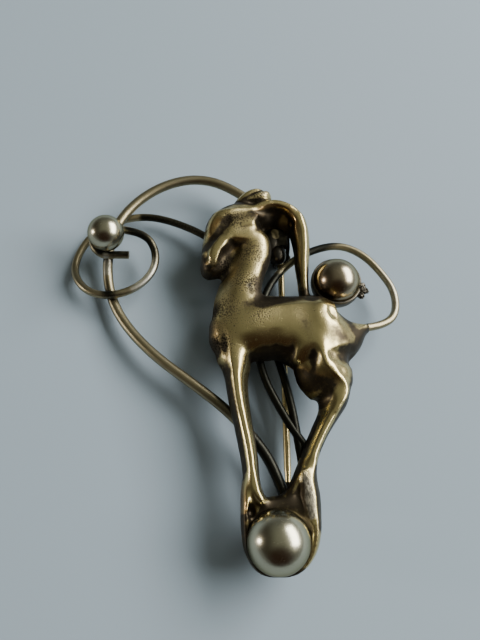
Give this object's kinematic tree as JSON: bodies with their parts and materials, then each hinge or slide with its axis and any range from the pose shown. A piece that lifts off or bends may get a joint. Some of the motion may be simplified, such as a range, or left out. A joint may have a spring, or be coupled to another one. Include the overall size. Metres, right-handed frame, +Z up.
{
  "type": "gazelle brooch",
  "caption": "Brass brooch of a gazelle in relief standing on a ball, framed by scrolled wires that end in balls, with a hinged pin and a catch on its back.",
  "frame": {"origin": "under the middle of the whole brooch, on the surface that it lies on, back down", "axes": "+Y from the bottom ball to the horn and the arch, +X to the figure's right as seen, +Z up out of the relief"},
  "size_m": [0.0513, 0.0623, 0.0105],
  "materials": {
    "figure": "cast brass, polished on its high planes, with dark fine pits and tarnish in the hollows",
    "wire": "drawn brass wire, dulled to brown bronze, with small nicks and a worn grey patch",
    "ball": "pale brass, mirror polished, with fine scratches",
    "cup": "brass cup and collar, tarnished dark grey, with a worn rim",
    "finding": "dark tarnished hinge and catch with spots of bright solder",
    "pin": "yellow brass pin wire, satin along its length"
  },
  "bodies": {
    "brooch": {"gazelle": "figure", "main_wire": "wire", "scroll_wire": "wire", "tail_wire": "wire", "base_ball": "ball", "tail_ball": "ball", "scroll_ball": "ball", "tail_cup": "cup", "scroll_collar": "cup", "pin_hinge": "finding", "hinge_rivet": "finding", "pin_catch": "finding"},
    "pin": {"pin_stem": "pin"}
  },
  "joints": [
    {"name": "pin_hinge", "type": "hinge", "parent": "brooch", "child": "pin", "pos_m": [0.00779, 0.01712, 0.00135], "axis": [1, 0, 0], "range_deg": [0, 90]}
  ]
}
